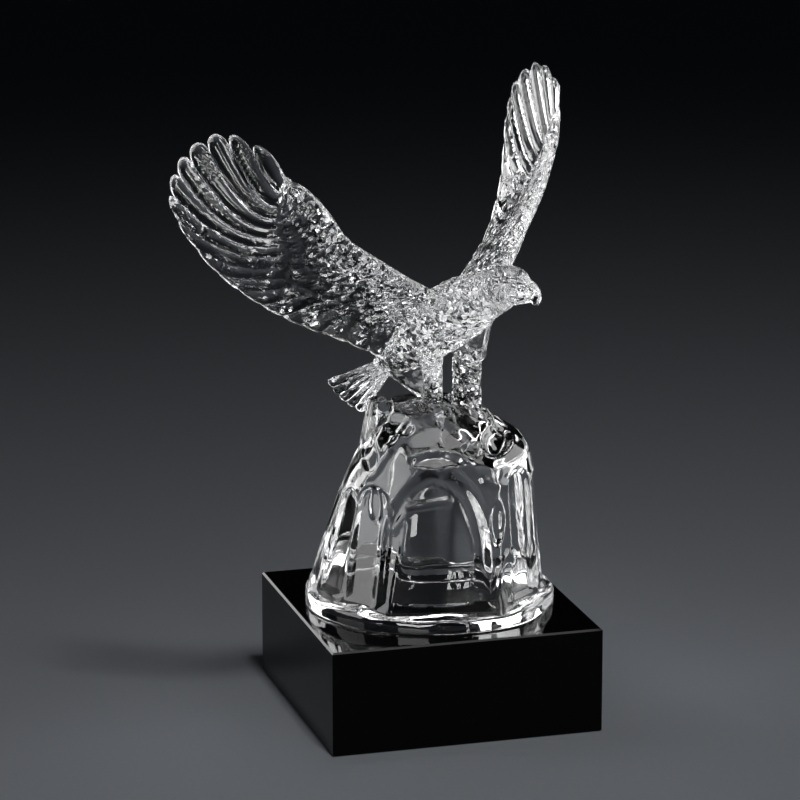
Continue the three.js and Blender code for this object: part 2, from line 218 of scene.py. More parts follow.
def wing_half(feather, share, face):
    """Half thickness on one face: thick at the arm, thin at the tips, rounded to nothing at every
    edge. The hand's feathers are ridged, 1.17 - sqrt(side^2 + 0.03); the others are shallow lenses,
    sqrt(1 - 0.93 side^2). Rows of coverts overlap their roots like tiles, and barbs stand beside each
    shaft as beads, sin(2 pi share times about 30)."""
    spread = np.minimum(1, share * 1.5) ** 0.7
    body = (ARM_THICKNESS + (TIP_THICKNESS - ARM_THICKNESS) * spread) / 2
    body = body * (0.55 + 0.45 * np.clip((feather + 0.5) / 4, 0, 1))
    side = 2 * np.abs(feather - np.round(feather))
    hand = 1 - smooth_step(5.5, 7.5, feather)
    lens = np.sqrt(1 - 0.93 * side ** 2)
    ridge = (1.17 - np.sqrt(side ** 2 + 0.03)) * smooth_step(1.0, 0.9, side)
    crown = 0.45 - 0.27 * (1 - hand)
    vane = body * (0.9 - crown + crown * lens)
    vane = vane + hand * RIDGE_HEIGHT * ridge + (1 - hand) * VANE_HEIGHT * lens
    beads = np.sin(2 * np.pi * share * (30 + 4 * np.sin(feather * 2.4)))
    patchy = smooth_step(0.0, 0.5, np.sin(np.round(feather) * 2.3 + share * 7))
    barbs = beads * smooth_step(0.10, 0.22, side) * smooth_step(0.8, 0.6, side) * patchy
    vane = vane + BARB_HEIGHT * barbs
    tiers = share / covered_share(feather) * COVERT_ROWS
    tiles = feather_tiles(tiers, feather * np.where(tiers < 2, 1.5, 1.0))
    covert = body * 0.86 + COVERT_HEIGHT * tiles * (0.75 + 0.25 * face)
    half = covert + (vane - covert) * flight_share(feather, share)
    ends = rounded_edge(share / ROOT_SHARE) * rounded_edge((1 - share) / TIP_SHARE)
    return half * ends * rounded_edge((feather + 0.5) / 0.3 + 0.02)


def wing():
    """Both faces of the left wing as one loop of shares, and the grain of their plumage: full along
    the arm and beside the trunk, in patches on the coverts and in small glints on the inner flight
    feathers. The steps along a feather stand closer together at its root and its tip."""
    feather = np.linspace(-0.5, WING_FEATHERS - 0.5, WING_FEATHERS * 10 + 1)
    core = np.linspace(0, 1, 57)
    near = ROOT_SHARE * (1 - np.cos(np.linspace(0, np.pi / 2, 6)))
    far = 1 - TIP_SHARE * (1 - np.sin(np.linspace(0, np.pi / 2, 5)))
    share = np.concatenate([near[:-1], ROOT_SHARE + (1 - ROOT_SHARE - TIP_SHARE) * core, far[1:]])
    grid_feather, grid_share = np.meshgrid(feather, share, indexing="ij")
    middle = wing_middle(grid_feather, grid_share)
    normal = unit_vectors(np.cross(np.gradient(middle, axis=0), np.gradient(middle, axis=1)))
    front = middle + normal * wing_half(grid_feather, grid_share, 1)[..., None]
    rear = middle - normal * wing_half(grid_feather, grid_share, 0)[..., None]
    scattered = smooth_step(0.1, 0.45, ripple(middle, 3.0, 3))
    band = 0.16 + 0.20 * smooth_step(5.0, 14.0, grid_feather)
    flight = flight_share(grid_feather, grid_share)
    glints = smooth_step(0.12, 0.3, ripple(middle, 1.7, 5)) * smooth_step(4.0, 6.0, grid_feather)
    grain = np.exp(-(grid_share / band) ** 4) + 0.9 * glints * flight
    grain = grain + (0.06 + 0.7 * scattered) * (1 - flight)
    grain = grain + 0.8 * smooth_step(13.5, 15.5, grid_feather) * smooth_step(0.8, 0.5, grid_share)
    return two_faced(front, rear), two_faced(grain, grain)


# trunk, neck and head

# the spine from the tail's root to the brow, and the half width and half height along it
TRUNK = [[-11.5, 0, 46.2], [-7.7, 0, 48.4], [-2.6, 0, 52.4], [3.0, 0, 57.0], [8.5, 0, 60.6],
         [12.4, 0.4, 62.9], [15.1, 1.2, 64.5], [17.3, 2.0, 65.7], [19.2, 3.3, 65.6], [20.8, 4.4, 64.9]]
TRUNK_WIDTH = [3.0, 4.7, 6.6, 7.6, 7.2, 5.4, 4.4, 4.1, 3.3, 1.7]
TRUNK_HEIGHT = [1.9, 3.8, 5.3, 6.2, 6.0, 4.9, 4.4, 4.2, 3.5, 1.9]
TRUNK_RINGS = 116
TRUNK_PLUME = 0.66 * MM


def trunk():
    """Oval rings along the spine's curve, in plumage that rises towards each feather's end and
    shrinks towards the smooth head, and the grain of that plumage."""
    share = np.concatenate([[0.0], np.linspace(0.0, 1.0, TRUNK_RINGS)])
    places = np.linspace(0, 1, len(TRUNK))
    middle = curve(TRUNK, share)
    tangent = unit_vectors(np.gradient(curve(TRUNK, np.linspace(0, 1, TRUNK_RINGS + 1)), axis=0))
    across = unit_vectors(np.stack([-tangent[:, 1], tangent[:, 0], np.zeros(len(share))], -1))
    above = np.cross(tangent, across)
    angle = np.linspace(0, 2 * np.pi, 88, endpoint=False)
    width = through(places, TRUNK_WIDTH, share)[:, None]
    height = through(places, TRUNK_HEIGHT, share)[:, None]
    width[0], height[0] = width[0] * 0.5, height[0] * 0.5
    row = (1 - share[:, None]) * 26 + 0.35 * np.sin(3 * angle)
    tiles = feather_tiles(row, 20 * angle / (2 * np.pi) + 0 * row)
    plume = (1 - smooth_step(0.68, 0.8, share))[:, None]
    swell = TRUNK_PLUME * (tiles - 0.45) * (0.2 + 0.8 * plume)
    round_up = np.cos(angle)[None, :, None] * across[:, None, :] * (width + swell)[..., None]
    rise = np.sin(angle)[None, :, None] * above[:, None, :] * (height + swell)[..., None]
    throat = smooth_step(0.2, -0.6, np.sin(angle))[None, :] * smooth_step(0.45, 0.55, share)[:, None]
    grain = 0.25 + 0.8 * (1 - smooth_step(0.62, 0.82, share))[:, None] * (1 - 0.45 * throat)
    return middle[:, None, :] + round_up + rise, grain


def limb(points, radii, deep=None, rings=24, steps=20, swell=None, flat=None):
    """Round body along a curve: at each share a circle across the tangent, stretched ahead by deep
    and squared off by raising its cosine and sine to the power flat. Both ends are rounded."""
    share = np.linspace(0, 1, rings)
    places = np.linspace(0, 1, len(points))
    middle = curve(points, share)
    tangent = unit_vectors(np.gradient(middle, axis=0))
    side = unit_vectors(np.array([0.0, 1.0, 0.0]) - tangent * tangent[:, 1:2])
    ahead = np.cross(side, tangent)
    radius = through(places, radii, share)[:, None]
    stretch = through(places, deep or [1] * len(points), share)[:, None]
    angle = np.linspace(0, 2 * np.pi, steps, endpoint=False)[None, :]
    relief = 0 if swell is None else swell(share[:, None], angle)
    bend = 1 if flat is None else through(places, flat, share)[:, None]
    radius = radius * rounded_edge(np.minimum(share, 1 - share) * rings / 3 + 0.25)[:, None]
    out = squared_off(np.cos(angle), bend) * (radius * stretch + relief)
    over = squared_off(np.sin(angle), bend) * (radius + relief)
    return middle[:, None, :] + ahead[:, None, :] * out[..., None] + side[:, None, :] * over[..., None]


EYE_RADIUS = 2 * MM


def head_pieces():
    """Beak with its hook, lower jaw, brow ridges, cheek bars and eyes, about the turned head's axes."""
    beak = limb([[18.6, 2.9, 65.3], [20.6, 4.3, 65.0], [21.7, 5.1, 64.0], [21.9, 5.3, 62.9],
                 [21.5, 5.1, 62.2]], [2.9, 2.1, 1.45, 1.05, 0.6], rings=28, steps=28)
    forward = np.array([0.83, 0.56, 0.0])
    left = np.array([-0.56, 0.83, 0.0])
    up = np.array([0.0, 0.0, 1.0])
    centre = np.array([17.9, 2.5, 65.9])
    spot = lambda ahead, aside, rise: (centre + ahead * forward + aside * left + rise * up).tolist()
    pieces, eyes = [beak], []
    for sign in (-1, 1):
        brow = [spot(-1.6, 3.4 * sign, 1.3), spot(0.2, 3.6 * sign, 1.9), spot(1.9, 2.9 * sign, 1.5),
                spot(3.1, 1.8 * sign, 0.6)]
        cheek = [spot(-0.6, 3.3 * sign, -0.9), spot(1.4, 2.9 * sign, -1.1),
                 spot(3.0, 1.8 * sign, -1.4), spot(4.2, 0.9 * sign, -1.9)]
        pieces.append(limb(brow, [0.4, 0.9, 0.8, 0.45], rings=16, steps=12))
        pieces.append(limb(cheek, [0.5, 0.8, 0.6, 0.4], rings=16, steps=12))
        eyes.append(ball(spot(1.0, 3.2 * sign, 0.45), EYE_RADIUS))
    jaw = [spot(-0.6, 0, -2.3), spot(1.4, 0, -2.5), spot(3.2, 0, -2.5), spot(4.5, 0, -2.7)]
    pieces.append(limb(jaw, [1.6, 1.4, 1.0, 0.6], rings=18, steps=18))
    return pieces, eyes


def ball(centre, radius):
    """Sphere by rings of latitude: cos and sin of the two angles, times the radius."""
    tall = np.linspace(-np.pi / 2 + 0.12, np.pi / 2 - 0.12, 11)[:, None]
    turn = np.linspace(0, 2 * np.pi, 18, endpoint=False)[None, :]
    return np.asarray(centre) + radius * directions(tall, turn)


# tail

# the tail's root, and from it the tips of the middle and the outermost feathers
TAIL_ROOT = np.array([-9.2, 0, 47.4])
TAIL_MIDDLE = np.array([-16.8, 0, 35.2]) - TAIL_ROOT
TAIL_OUTER = np.array([-20.6, 6.6, 42.6]) - TAIL_ROOT
TAIL_FEATHERS = 10
TAIL_THICKNESS = 3.4 * MM
TAIL_END_SHARE = 0.04


def tail():
    """Cupped fan: rays turn from the middle feather to the outer ones, each feather a shallow lens
    with a groove along its shaft and a round end; both faces in one loop."""
    half = TAIL_FEATHERS / 2
    feather = np.linspace(-half, half, TAIL_FEATHERS * 12 + 1)
    core = np.linspace(0, 1, 25)
    end = 1 - TAIL_END_SHARE * (1 - np.sin(np.linspace(0, np.pi / 2, 5)))
    share = np.concatenate([core[:-1] * (1 - TAIL_END_SHARE), end])
    grid_feather, grid_share = np.meshgrid(feather, share, indexing="ij")
    outward = grid_feather / half
    outer = np.where(outward[..., None] < 0, mirrored(TAIL_OUTER), TAIL_OUTER)
    amount = np.abs(outward)[..., None]
    long_middle, long_outer = np.linalg.norm(TAIL_MIDDLE), np.linalg.norm(TAIL_OUTER)
    ray = unit_vectors(TAIL_MIDDLE * (1 - amount) + outer * amount)
    ray = ray * (long_middle + (long_outer - long_middle) * amount)
    offset = grid_feather - np.floor(grid_feather) - 0.5
    fall = 1 - np.sqrt(np.maximum(0, 1 - 4 * offset ** 2))
    reach = grid_share * (1 - 0.7 * fall / np.linalg.norm(ray, axis=-1))
    root = np.stack([0 * outward, outward * 1.6 * (1 - grid_share), 0 * outward], -1)
    middle = TAIL_ROOT + root + ray * reach[..., None]
    normal = unit_vectors(np.cross(np.gradient(middle, axis=0), np.gradient(middle, axis=1)))
    side = 2 * np.abs(offset)
    lens = 0.5 + 0.6 * np.sqrt(1 - 0.9 * side ** 2) - 0.18 * np.exp(-(side / 0.16) ** 2)
    thick = TAIL_THICKNESS / 2 * (1.5 - 0.7 * grid_share) * lens
    thick = thick * rounded_edge((1 - grid_share) / TAIL_END_SHARE + 0.01)
    thick = thick * rounded_edge((half - np.abs(grid_feather)) / 0.2 + 0.05)
    return two_faced(middle + normal * thick[..., None], middle - normal * thick[..., None])


# legs, feet and the support

LEG_RADIUS = 8.6 * MM / 2
LEG_ASIDE = 3.8
LEG_RINGS = 72
LEG_PLUME = 0.6 * MM
TOE_RADIUS = 0.52 * LEG_RADIUS
KNUCKLE_HEIGHT = 0.32 * MM
WEB_HALF_THICKNESS = 3.0 * MM
# forward and height, half width as a share of the leg's radius, and how much deeper than wide
RIGHT_LEG = np.array([[1.4, 57.0, 1.5, 1.5], [2.6, 53.5, 1.3, 1.4], [3.4, 50.5, 1.15, 1.2],
                      [3.9, 47.5, 1.0, 1.0], [4.1, 43.0, 0.95, 1.0], [4.0, 38.5, 1.2, 1.0]])
LEFT_LEG = np.array([[8.2, 60.0, 0.55, 4.6], [7.6, 56.5, 0.5, 4.6], [7.0, 52.5, 0.55, 3.8],
                     [6.4, 49.5, 1.0, 1.8], [6.3, 45.0, 1.1, 1.55], [6.4, 38.0, 1.2, 1.6]])


def leg(side, sections, smooth_above):
    """The thigh narrows to the shank. Below the given height it wears short feathers in tiles that
    point down, with their grain; above it the thigh is a smooth clear blade with flat faces."""
    forward, up, share_of_radius, stretch = sections.T
    points = np.stack([forward, side * LEG_ASIDE + 0 * up, up], -1).tolist()
    feathered = lambda height: smooth_step(smooth_above + 0.5, smooth_above - 0.5, height)
    height_at = lambda share: curve(points, share)[..., 2]

    def plume(share, angle):
        """Tiles in 22 rows down the leg, nine round it."""
        tiles = feather_tiles(share * 22 + 0.4 * np.sin(2 * angle), 9 * angle / (2 * np.pi) + 0 * share)
        return LEG_PLUME * (tiles - 0.4) * feathered(height_at(share[:, 0]))[:, None]

    flat = (0.35 + 0.65 * feathered(up)).tolist()
    rings = limb(points, (LEG_RADIUS * share_of_radius).tolist(), deep=stretch.tolist(),
                 rings=LEG_RINGS, steps=44, swell=plume, flat=flat)
    return rings, 2.0 * feathered(height_at(np.linspace(0, 1, LEG_RINGS)))[:, None]


def foot(side, forward, up, slope):
    """Three toes ahead and one behind, each with three knuckles and a curved claw; slope is the fall
    of the stone that they grip."""
    left = side * LEG_ASIDE
    radii = [TOE_RADIUS * share for share in (1, 1.15, 0.9, 0.3)]

    def knuckles(share, angle):
        """Four cosine waves along the toe, fading before the claw."""
        return KNUCKLE_HEIGHT * np.cos(8 * np.pi * share) * (1 - smooth_step(0.6, 0.8, share))

    toes = []
    for bearing in np.radians([-32, 0, 32, 180]):
        along, aside = np.cos(bearing), np.sin(bearing)
        line = [[forward + along * reach, left + aside * reach, up - drop - slope * reach * along]
                for reach, drop in ((0.3, 0.6), (2.4, 0.2), (4.4, 1.1), (5.6, 2.8))]
        toes.append(limb(line, radii, rings=26, steps=14, swell=knuckles))
    return toes


def support():
    """Clear web behind the legs: rounded oblongs, one above the other. Its foot stands on the rock and
    its underside climbs to the tail's root."""
    up = [37.0, 38.5, 40.4, 41.2, 43.0, 44.4, 46.0, 47.6, 50.0, 52.5, 54.0]
    back = [-1.0, -1.0, -1.4, -2.6, -7.4, -10.6, -10.2, -9.4, -6.2, -2.2, 0.0]
    front = [3.0, 3.0, 3.0, 3.0, 3.0, 3.0, 3.0, 3.0, 3.2, 3.0, 2.4]
    height = np.linspace(up[0], up[-1], 44)[:, None]
    low, high = through(up, back, height), through(up, front, height)
    turn = np.linspace(0, 2 * np.pi, 40, endpoint=False)[None, :]
    x = (low + high) / 2 + (high - low) / 2 * squared_off(np.cos(turn), 0.6)
    y = WEB_HALF_THICKNESS * squared_off(np.sin(turn), 0.6) + 0 * x
    return np.stack([x, y, height + 0 * x], -1)


# rock

FACING = -50
FLANGE_HEIGHT = 7 * MM
# bearing from the viewer's side, reach at the flange, lean from the vertical, half width and top of
# the arched window pressed into the flat
ROCK_SIDES = np.array([
    [4, 19.6, 5, 8.8, 28], [-38, 20.8, 10, 4.2, 24], [-63, 22.2, 15, 3.4, 22], [-88, 23.8, 19, 3.6, 20],
    [-118, 22.2, 16, 4.0, 22], [-146, 20.4, 9, 4.4, 25], [187, 19.4, 6, 4.6, 26], [158, 19.8, 5, 4.2, 25],
    [130, 20.2, 6, 4.2, 26], [104, 21.2, 5, 3.6, 26], [80, 23.4, 6, 3.2, 25], [57, 21.8, 4, 3.6, 27]], float)
# the slopes round the top: reach at the shoulder's height and lean
ROCK_SHOULDER = 32
ROCK_SLOPES = np.array([[6, 17.2, 50], [48, 19.0, 54], [90, 19.6, 57], [134, 18.4, 52], [180, 17.4, 50],
                        [-140, 16.8, 48], [-42, 16.2, 44], [-88, 12.4, 32]], float)
# the dome behind the flats: reach and height
ROCK_PROFILE = np.array([[23.9, 0], [23.7, 5.5], [22.4, 14], [20.9, 25.5], [19.6, 32], [17.5, 35.4],
                         [13, 38.6], [7, 40.1], [0.01, 40.4]])
ROCK_HEART = np.array([0, 0, 17.0])
EDGE_POWER = 70.0
FLANGE_REACH = 23.9
# scoops in front, in millimetres: rightward place, height, half width, half height and depth
ROCK_SCOOPS = [(30.7, 48.7, 3.6, 11.7, 1.0), (36, 21, 4.5, 12, 0.8), (2.5, 77, 13.5, 3.4, 1.5),
               (31, 82, 7.5, 5.5, 2.6), (19, 80.5, 5.5, 3.0, 1.3), (-27, 75, 4.5, 8.0, 1.2),
               (-14, 89, 8, 4, 1.1), (-25, 55, 3.4, 9.5, 0.8)]
# ridges in front, in millimetres: two ends (rightward place, height) and the height of the ridge
ROCK_RIDGES = [((-10, 89), (-18.4, 79.6), 0.8), ((-18.4, 79.6), (-33, 57.5), 0.9),
               ((15.4, 78), (24.4, 68.5), 0.7), ((24.4, 68.5), (34.2, 64.5), 0.7),
               ((-17, 45.5), (-9, 57.0), 0.9), ((-9, 57.0), (8, 59.5), 1.5)]


def faceted(out, heart):
    """Reach along each direction to every flat, d / (normal . direction), to the domed profile and to
    the foot, taken together by their p-mean, (sum reach^-p)^(-1/p), which rounds every edge a little."""
    reaches = []
    for table, height in ((ROCK_SIDES, FLANGE_HEIGHT), (ROCK_SLOPES, ROCK_SHOULDER)):
        bearing, lean = np.radians(table[:, 0] + FACING), np.radians(table[:, 2])
        normal = directions(lean, bearing)
        reach = table[:, 1]
        point = np.stack([reach * np.cos(bearing), reach * np.sin(bearing), 0 * bearing + height], -1)
        depth = np.sum(normal * (point - heart), -1)
        towards = out @ normal.T
        reaches.append(np.where(towards > 0.02, depth / np.maximum(towards, 0.02), 1e3))
    profile_angle = np.arctan2(ROCK_PROFILE[:, 1] - heart[2], ROCK_PROFILE[:, 0])
    profile_reach = np.hypot(ROCK_PROFILE[:, 0], ROCK_PROFILE[:, 1] - heart[2])
    fine = np.linspace(profile_angle[0], profile_angle[-1], 200)
    tall = np.arcsin(out[..., 2])
    dome = np.interp(tall, fine, np.interp(fine, profile_angle, profile_reach))
    floor = np.where(out[..., 2] < -0.02, (heart[2] - 1.0) / np.maximum(-out[..., 2], 0.02), 1e3)
    reaches = np.concatenate([*reaches, dome[..., None] * 1.006, floor[..., None]], -1)
    return 1.008 * (reaches ** -EDGE_POWER).sum(-1) ** (-1 / EDGE_POWER)


def rock():
    """The faceted reach seen from a point inside, with the windows, scoops and ridges of the face
    pressed in along the same directions; rows and columns stand closer together on the front face."""
    rows = [np.linspace(-88, -43, 7), np.linspace(-41, 41, 112), np.linspace(42.5, 89, 32)]
    tall = np.radians(np.concatenate(rows))[:, None]
    turn = np.linspace(0, 2 * np.pi, 200, endpoint=False)[None, :]
    turn = np.radians(FACING) + turn - 0.62 * np.sin(turn)
    out = directions(tall, turn)
    points = ROCK_HEART + out * faceted(out, ROCK_HEART)[..., None]
    return points + out * carving(points)[..., None]


def arch(x, z, half, foot, top):
    """Signed reach inside an arched window: the smaller of the distance in from its round top and
    sides and the height above its foot."""
    return np.minimum(half - np.hypot(x, np.maximum(0, z - (top - half))), z - foot)


def carving(points):
    """Rise of the face in hundredths of the figure's height: each flat's window sinks within its
    outline by a short step with a low lip. The great one in front is a niche that holds a smooth
    lens, (1 - x^2/w^2 - z^2/h^2)^0.7, whose foot runs on down to the flange. Scoops are smooth ovals,
    ridges are low rounded bars, and fine waves roughen the top."""
    bearing = np.degrees(np.arctan2(points[..., 1], points[..., 0])) - FACING
    around = np.hypot(points[..., 0], points[..., 1])
    height = points[..., 2]
    level = height / MM
    rise = np.zeros(points.shape[:-1])
    lip = lambda inside, wide: np.exp(-(inside / (wide * MM)) ** 2)
    wide = 1.6 + 2.6 * smooth_step(0.3, -0.3, np.cos(np.radians(bearing)))
    for middle, _, lean, half, top in ROCK_SIDES:
        turned = (bearing - middle + 180) % 360 - 180
        x = around * np.sin(np.radians(np.clip(turned, -80, 80))) + 1e3 * (np.abs(turned) > 75)
        if middle == 4:
            half_wide = 24.5 + 0.12 * np.maximum(0, 32 - level)
            far = np.hypot(x / MM / half_wide, np.maximum(0, level - 30) / 44)
            inside = np.minimum((1 - far) * 22 * MM, height - 9 * MM)
            rise -= 1.7 * MM * smooth_step(0, 2.4 * MM, inside)
            rise += 0.7 * MM * lip(inside + 0.5 * MM, 1.1)
            lens = 1 - (x / MM / 17.5) ** 2 - (np.maximum(0, level - 34) / 33) ** 2
            rise += 2.9 * MM * np.clip(lens, 0, 1) ** 0.7 * smooth_step(9, 13, level)
        else:
            inside = arch(x, height, half, FLANGE_HEIGHT + 1.5, top + FLANGE_HEIGHT)
            rise -= 1.0 * MM * smooth_step(0, wide * MM, inside)
            rise += 0.3 * MM * lip(inside + 0.3 * MM, wide / 2)
    rightward = around * np.sin(np.radians(bearing)) / MM
    front = smooth_step(0.0, 0.25, np.cos(np.radians(bearing)))
    for x, z, half_x, half_z, deep in ROCK_SCOOPS:
        far = np.hypot((rightward - x) / half_x, (level - z) / half_z)
        rise -= deep * MM * front * smooth_step(1.0, 0.6, far)
        rise += 0.14 * deep * MM * front * np.exp(-((far - 1.05) * min(half_x, half_z) / 1.0) ** 2)
    for (x0, z0), (x1, z1), tall in ROCK_RIDGES:
        span = np.array([x1 - x0, z1 - z0], float)
        t = np.clip(((rightward - x0) * span[0] + (level - z0) * span[1]) / (span @ span), 0, 1)
        off = np.hypot(rightward - x0 - t * span[0], level - z0 - t * span[1])
        rise += tall * MM * front * np.exp(-(off / 1.7) ** 2)
    rise += 0.35 * MM * ripple(points, 4.0, 11) * smooth_step(31.0, 36.0, height)
    return rise + 0.14 * MM * ripple(points, 12.0, 7)


def flange():
    """The rock's foot: a low disc whose outline is a sum of cosines and whose rounded rim rises,
    falls and swells as molten glass does, sloping up to the rock."""
    turn = np.linspace(0, 2 * np.pi, 200, endpoint=False)[None, :]
    waves = (1 - 0.022 * np.cos(2 * (turn - np.radians(FACING))) + 0.01 * np.cos(5 * turn + 1)
             + 0.008 * np.cos(9 * turn))
    section = np.array([[0.3, 0.0], [0.7, 0.0], [0.96, 0.0], [0.99, 0.01], [0.999, 0.06], [1.0, 0.15],
                        [1.0, 0.45], [0.999, 0.72], [0.993, 0.86], [0.98, 0.95], [0.95, 1.0],
                        [0.9, 1.05], [0.8, 1.3], [0.4, 1.3]])
    rim = 1 + 0.12 * np.sin(3 * turn + 0.6) + 0.06 * np.sin(7 * turn) + 0.03 * np.sin(17 * turn + 2)
    reach = FLANGE_REACH * waves * section[:, :1]
    height = FLANGE_HEIGHT * section[:, 1:] * np.where(section[:, 1:] > 0.4, rim, 1.0)
    return np.stack([reach * np.cos(turn), reach * np.sin(turn), height + 0 * turn], -1)


def knob():
    """The rock's small point at the left: a seven-sided cone with rounded edges and a hollowed top."""
    centre_bearing = np.radians(FACING - 101)
    centre = np.array([10.1 * np.cos(centre_bearing), 10.1 * np.sin(centre_bearing)])
    turn = np.linspace(0, 2 * np.pi, 56, endpoint=False)[None, :]
    up = np.array([27.5, 30, 33, 36, 38.6, 39.8, 40.4, 40.5, 40.2, 39.9])[:, None]
    radius = np.array([4.4, 4.0, 3.4, 2.9, 2.3, 2.05, 1.8, 1.4, 1.0, 0.5])[:, None]
    flats = (np.cos(turn[..., None] - np.arange(7) * 2 * np.pi / 7) ** 24).clip(0, 1).sum(-1) ** (1 / 24)
    reach = radius / np.maximum(flats, 0.85)
    return np.stack([centre[0] + reach * np.cos(turn), centre[1] + reach * np.sin(turn), up + 0 * reach], -1)


# putting the crystal together

SHARP_ANGLE = np.radians(55)
CEMENT_RADIUS = 0.039
SEAT_TOLERANCE = 0.0001


def in_frame(points):
    """Turned by the eagle's heading, raised to its seat and scaled to metres."""
    c, s = np.cos(HEADING), np.sin(HEADING)
    x, y, z = points.T
    return np.stack([x * c - y * s, x * s + y * c, z], -1) * UNIT + np.array([0, 0, SEAT])


def mesh_object(name, rings, grain):
    """A mesh object over the closed skin of these rings, placed in the shared frame. Its attribute
    plumage says how strongly each point carries the grain of the feathers."""
    points, faces = skin(rings)
    mesh = bpy.data.meshes.new(name)
    mesh.from_pydata(in_frame(points), [], faces)
    plumage = np.zeros(len(points), np.float32)
    plumage[:-2] = np.broadcast_to(grain, rings.shape[:2]).reshape(-1)
    mesh.attributes.new("plumage", "FLOAT", "POINT").data.foreach_set("value", plumage)
    mesh.update()
    made = bpy.data.objects.new(name, mesh)
    bpy.context.collection.objects.link(made)
    return made


def joined(name, parts):
    """Union of the closed parts into one skin, one Boolean after the other."""
    whole = parts[0]
    for part in parts[1:]:
        cut = whole.modifiers.new("join", "BOOLEAN")
        cut.operation, cut.solver, cut.object = "UNION", "MANIFOLD", part
    bpy.context.view_layer.update()
    solved = whole.evaluated_get(bpy.context.evaluated_depsgraph_get())
    made = bpy.data.meshes.new_from_object(solved)
    for part in parts:
        bpy.data.objects.remove(part)
    made.name = name
    made.shade_smooth()
    made.set_sharp_from_angle(angle=SHARP_ANGLE)
    body = bpy.data.objects.new(name, made)
    bpy.context.collection.objects.link(body)
    return body


def crystal():
    """The whole casting: figure, web and rock as one clear body."""
    left_wing, wing_grain = wing()
    head, eyes = head_pieces()
    toes = foot(-1, 4.1, 41.2, 0.1) + foot(1, 6.4, 40.2, 0.4)
    shapes = [(left_wing, wing_grain), (mirrored(left_wing), wing_grain), trunk(),
              *[(piece, 0.2) for piece in head], *[(piece, 0.0) for piece in eyes],
              (tail(), 0.45), (support(), 0.35), leg(-1, RIGHT_LEG, 56.0), leg(1, LEFT_LEG, 49.8),
              *[(toe, 0.3) for toe in toes], (rock(), 0.0), (flange(), 0.0), (knob(), 0.0)]
    parts = [mesh_object(f"shape_{k}", rings, grain) for k, (rings, grain) in enumerate(shapes)]
    return joined("crystal_eagle_on_rock", parts)


def cement_underside(mesh):
    """The second material goes on a round patch of the flat underside: the faces whose middle lies
    on the seat and within the cement's radius."""
    middle = np.zeros(len(mesh.polygons) * 3)
    mesh.polygons.foreach_get("center", middle)
    on_seat = middle[2::3] < SEAT + SEAT_TOLERANCE
    patch = on_seat & (np.hypot(middle[::3], middle[1::3]) < CEMENT_RADIUS)
    mesh.polygons.foreach_set("material_index", patch.astype(np.int32))
    mesh.update()


# materials

def linear(hex_colour):
    """sRGB hex to linear red, green, blue and 1: c/12.92 below 0.04045, else ((c+0.055)/1.055)^2.4."""
    srgb = np.array([int(hex_colour[k:k + 2], 16) for k in (1, 3, 5)]) / 255
    return (*np.where(srgb <= 0.04045, srgb / 12.92, ((srgb + 0.055) / 1.055) ** 2.4), 1.0)


def add(tree, kind, settings=None, links=None):
    """One node with its settings (properties or sockets) and the sockets that feed it."""
    node = tree.nodes.new(kind)
    for key, value in (settings or {}).items():
        if isinstance(key, str) and hasattr(node, key):
            setattr(node, key, value)
        else:
            node.inputs[key].default_value = value
    for key, source in (links or {}).items():
        tree.links.new(source, node.inputs[key])
    return node


def per_metre(pitch_mm):
    """How often a pattern of this pitch in millimetres comes in one metre: 1000 / pitch."""
    return 1000 / pitch_mm


def new_material(name):
    """An empty material and its tree of nodes."""
    material = bpy.data.materials.new(name)
    material.use_nodes = True
    tree = material.node_tree
    tree.nodes.clear()
    return material, tree


def fire_polished_lead_crystal():
    """Pressed lead crystal, fire polished: colourless, index 1.55, a mirror-smooth skin that still
    rolls a little every 11 mm. Where the part is feathered the mould leaves small glinting flats:
    cells of one random tilt each, by adding the cell's own vector, less its mean, to the skin's
    normal. They are 2.2 mm wide, a little coarser than the cast ones, so that they show."""
    material, tree = new_material("fire_polished_lead_crystal")
    place = add(tree, "ShaderNodeTexCoord")
    roll = add(tree, "ShaderNodeTexNoise", {"Scale": per_metre(11), "Detail": 2.0, "Roughness": 0.5},
               {"Vector": place.outputs["Object"]})
    rolled = add(tree, "ShaderNodeBump", {"Strength": 0.25, "Distance": 0.0004},
                 {"Height": roll.outputs["Fac"]})
    feathered = add(tree, "ShaderNodeAttribute", {"attribute_name": "plumage"})
    cells = add(tree, "ShaderNodeTexVoronoi", {"Scale": per_metre(2.2)},
                {"Vector": place.outputs["Object"]})
    tilt = add(tree, "ShaderNodeVectorMath", {"operation": "SUBTRACT", 1: (0.5, 0.5, 0.5)},
               {0: cells.outputs["Color"]})
    reach = add(tree, "ShaderNodeMath", {"operation": "MULTIPLY", 1: 0.9},
                {0: feathered.outputs["Fac"]})
    tilted = add(tree, "ShaderNodeVectorMath", {"operation": "SCALE"},
                 {0: tilt.outputs["Vector"], "Scale": reach.outputs["Value"]})
    added = add(tree, "ShaderNodeVectorMath", {"operation": "ADD"},
                {0: rolled.outputs["Normal"], 1: tilted.outputs["Vector"]})
    grained = add(tree, "ShaderNodeVectorMath", {"operation": "NORMALIZE"}, {0: added.outputs["Vector"]})
    tint = add(tree, "ShaderNodeMix", {"data_type": "RGBA", 6: linear("#fbfdff"), 7: linear("#ffffff")},
               {0: roll.outputs["Fac"]})
    glass = add(tree, "ShaderNodeBsdfPrincipled",
                {"Roughness": 0.012, "IOR": 1.55, "Transmission Weight": 1.0},
                {"Base Color": tint.outputs[2], "Normal": grained.outputs["Vector"]})
    add(tree, "ShaderNodeOutputMaterial", {}, {"Surface": glass.outputs["BSDF"]})
    return material


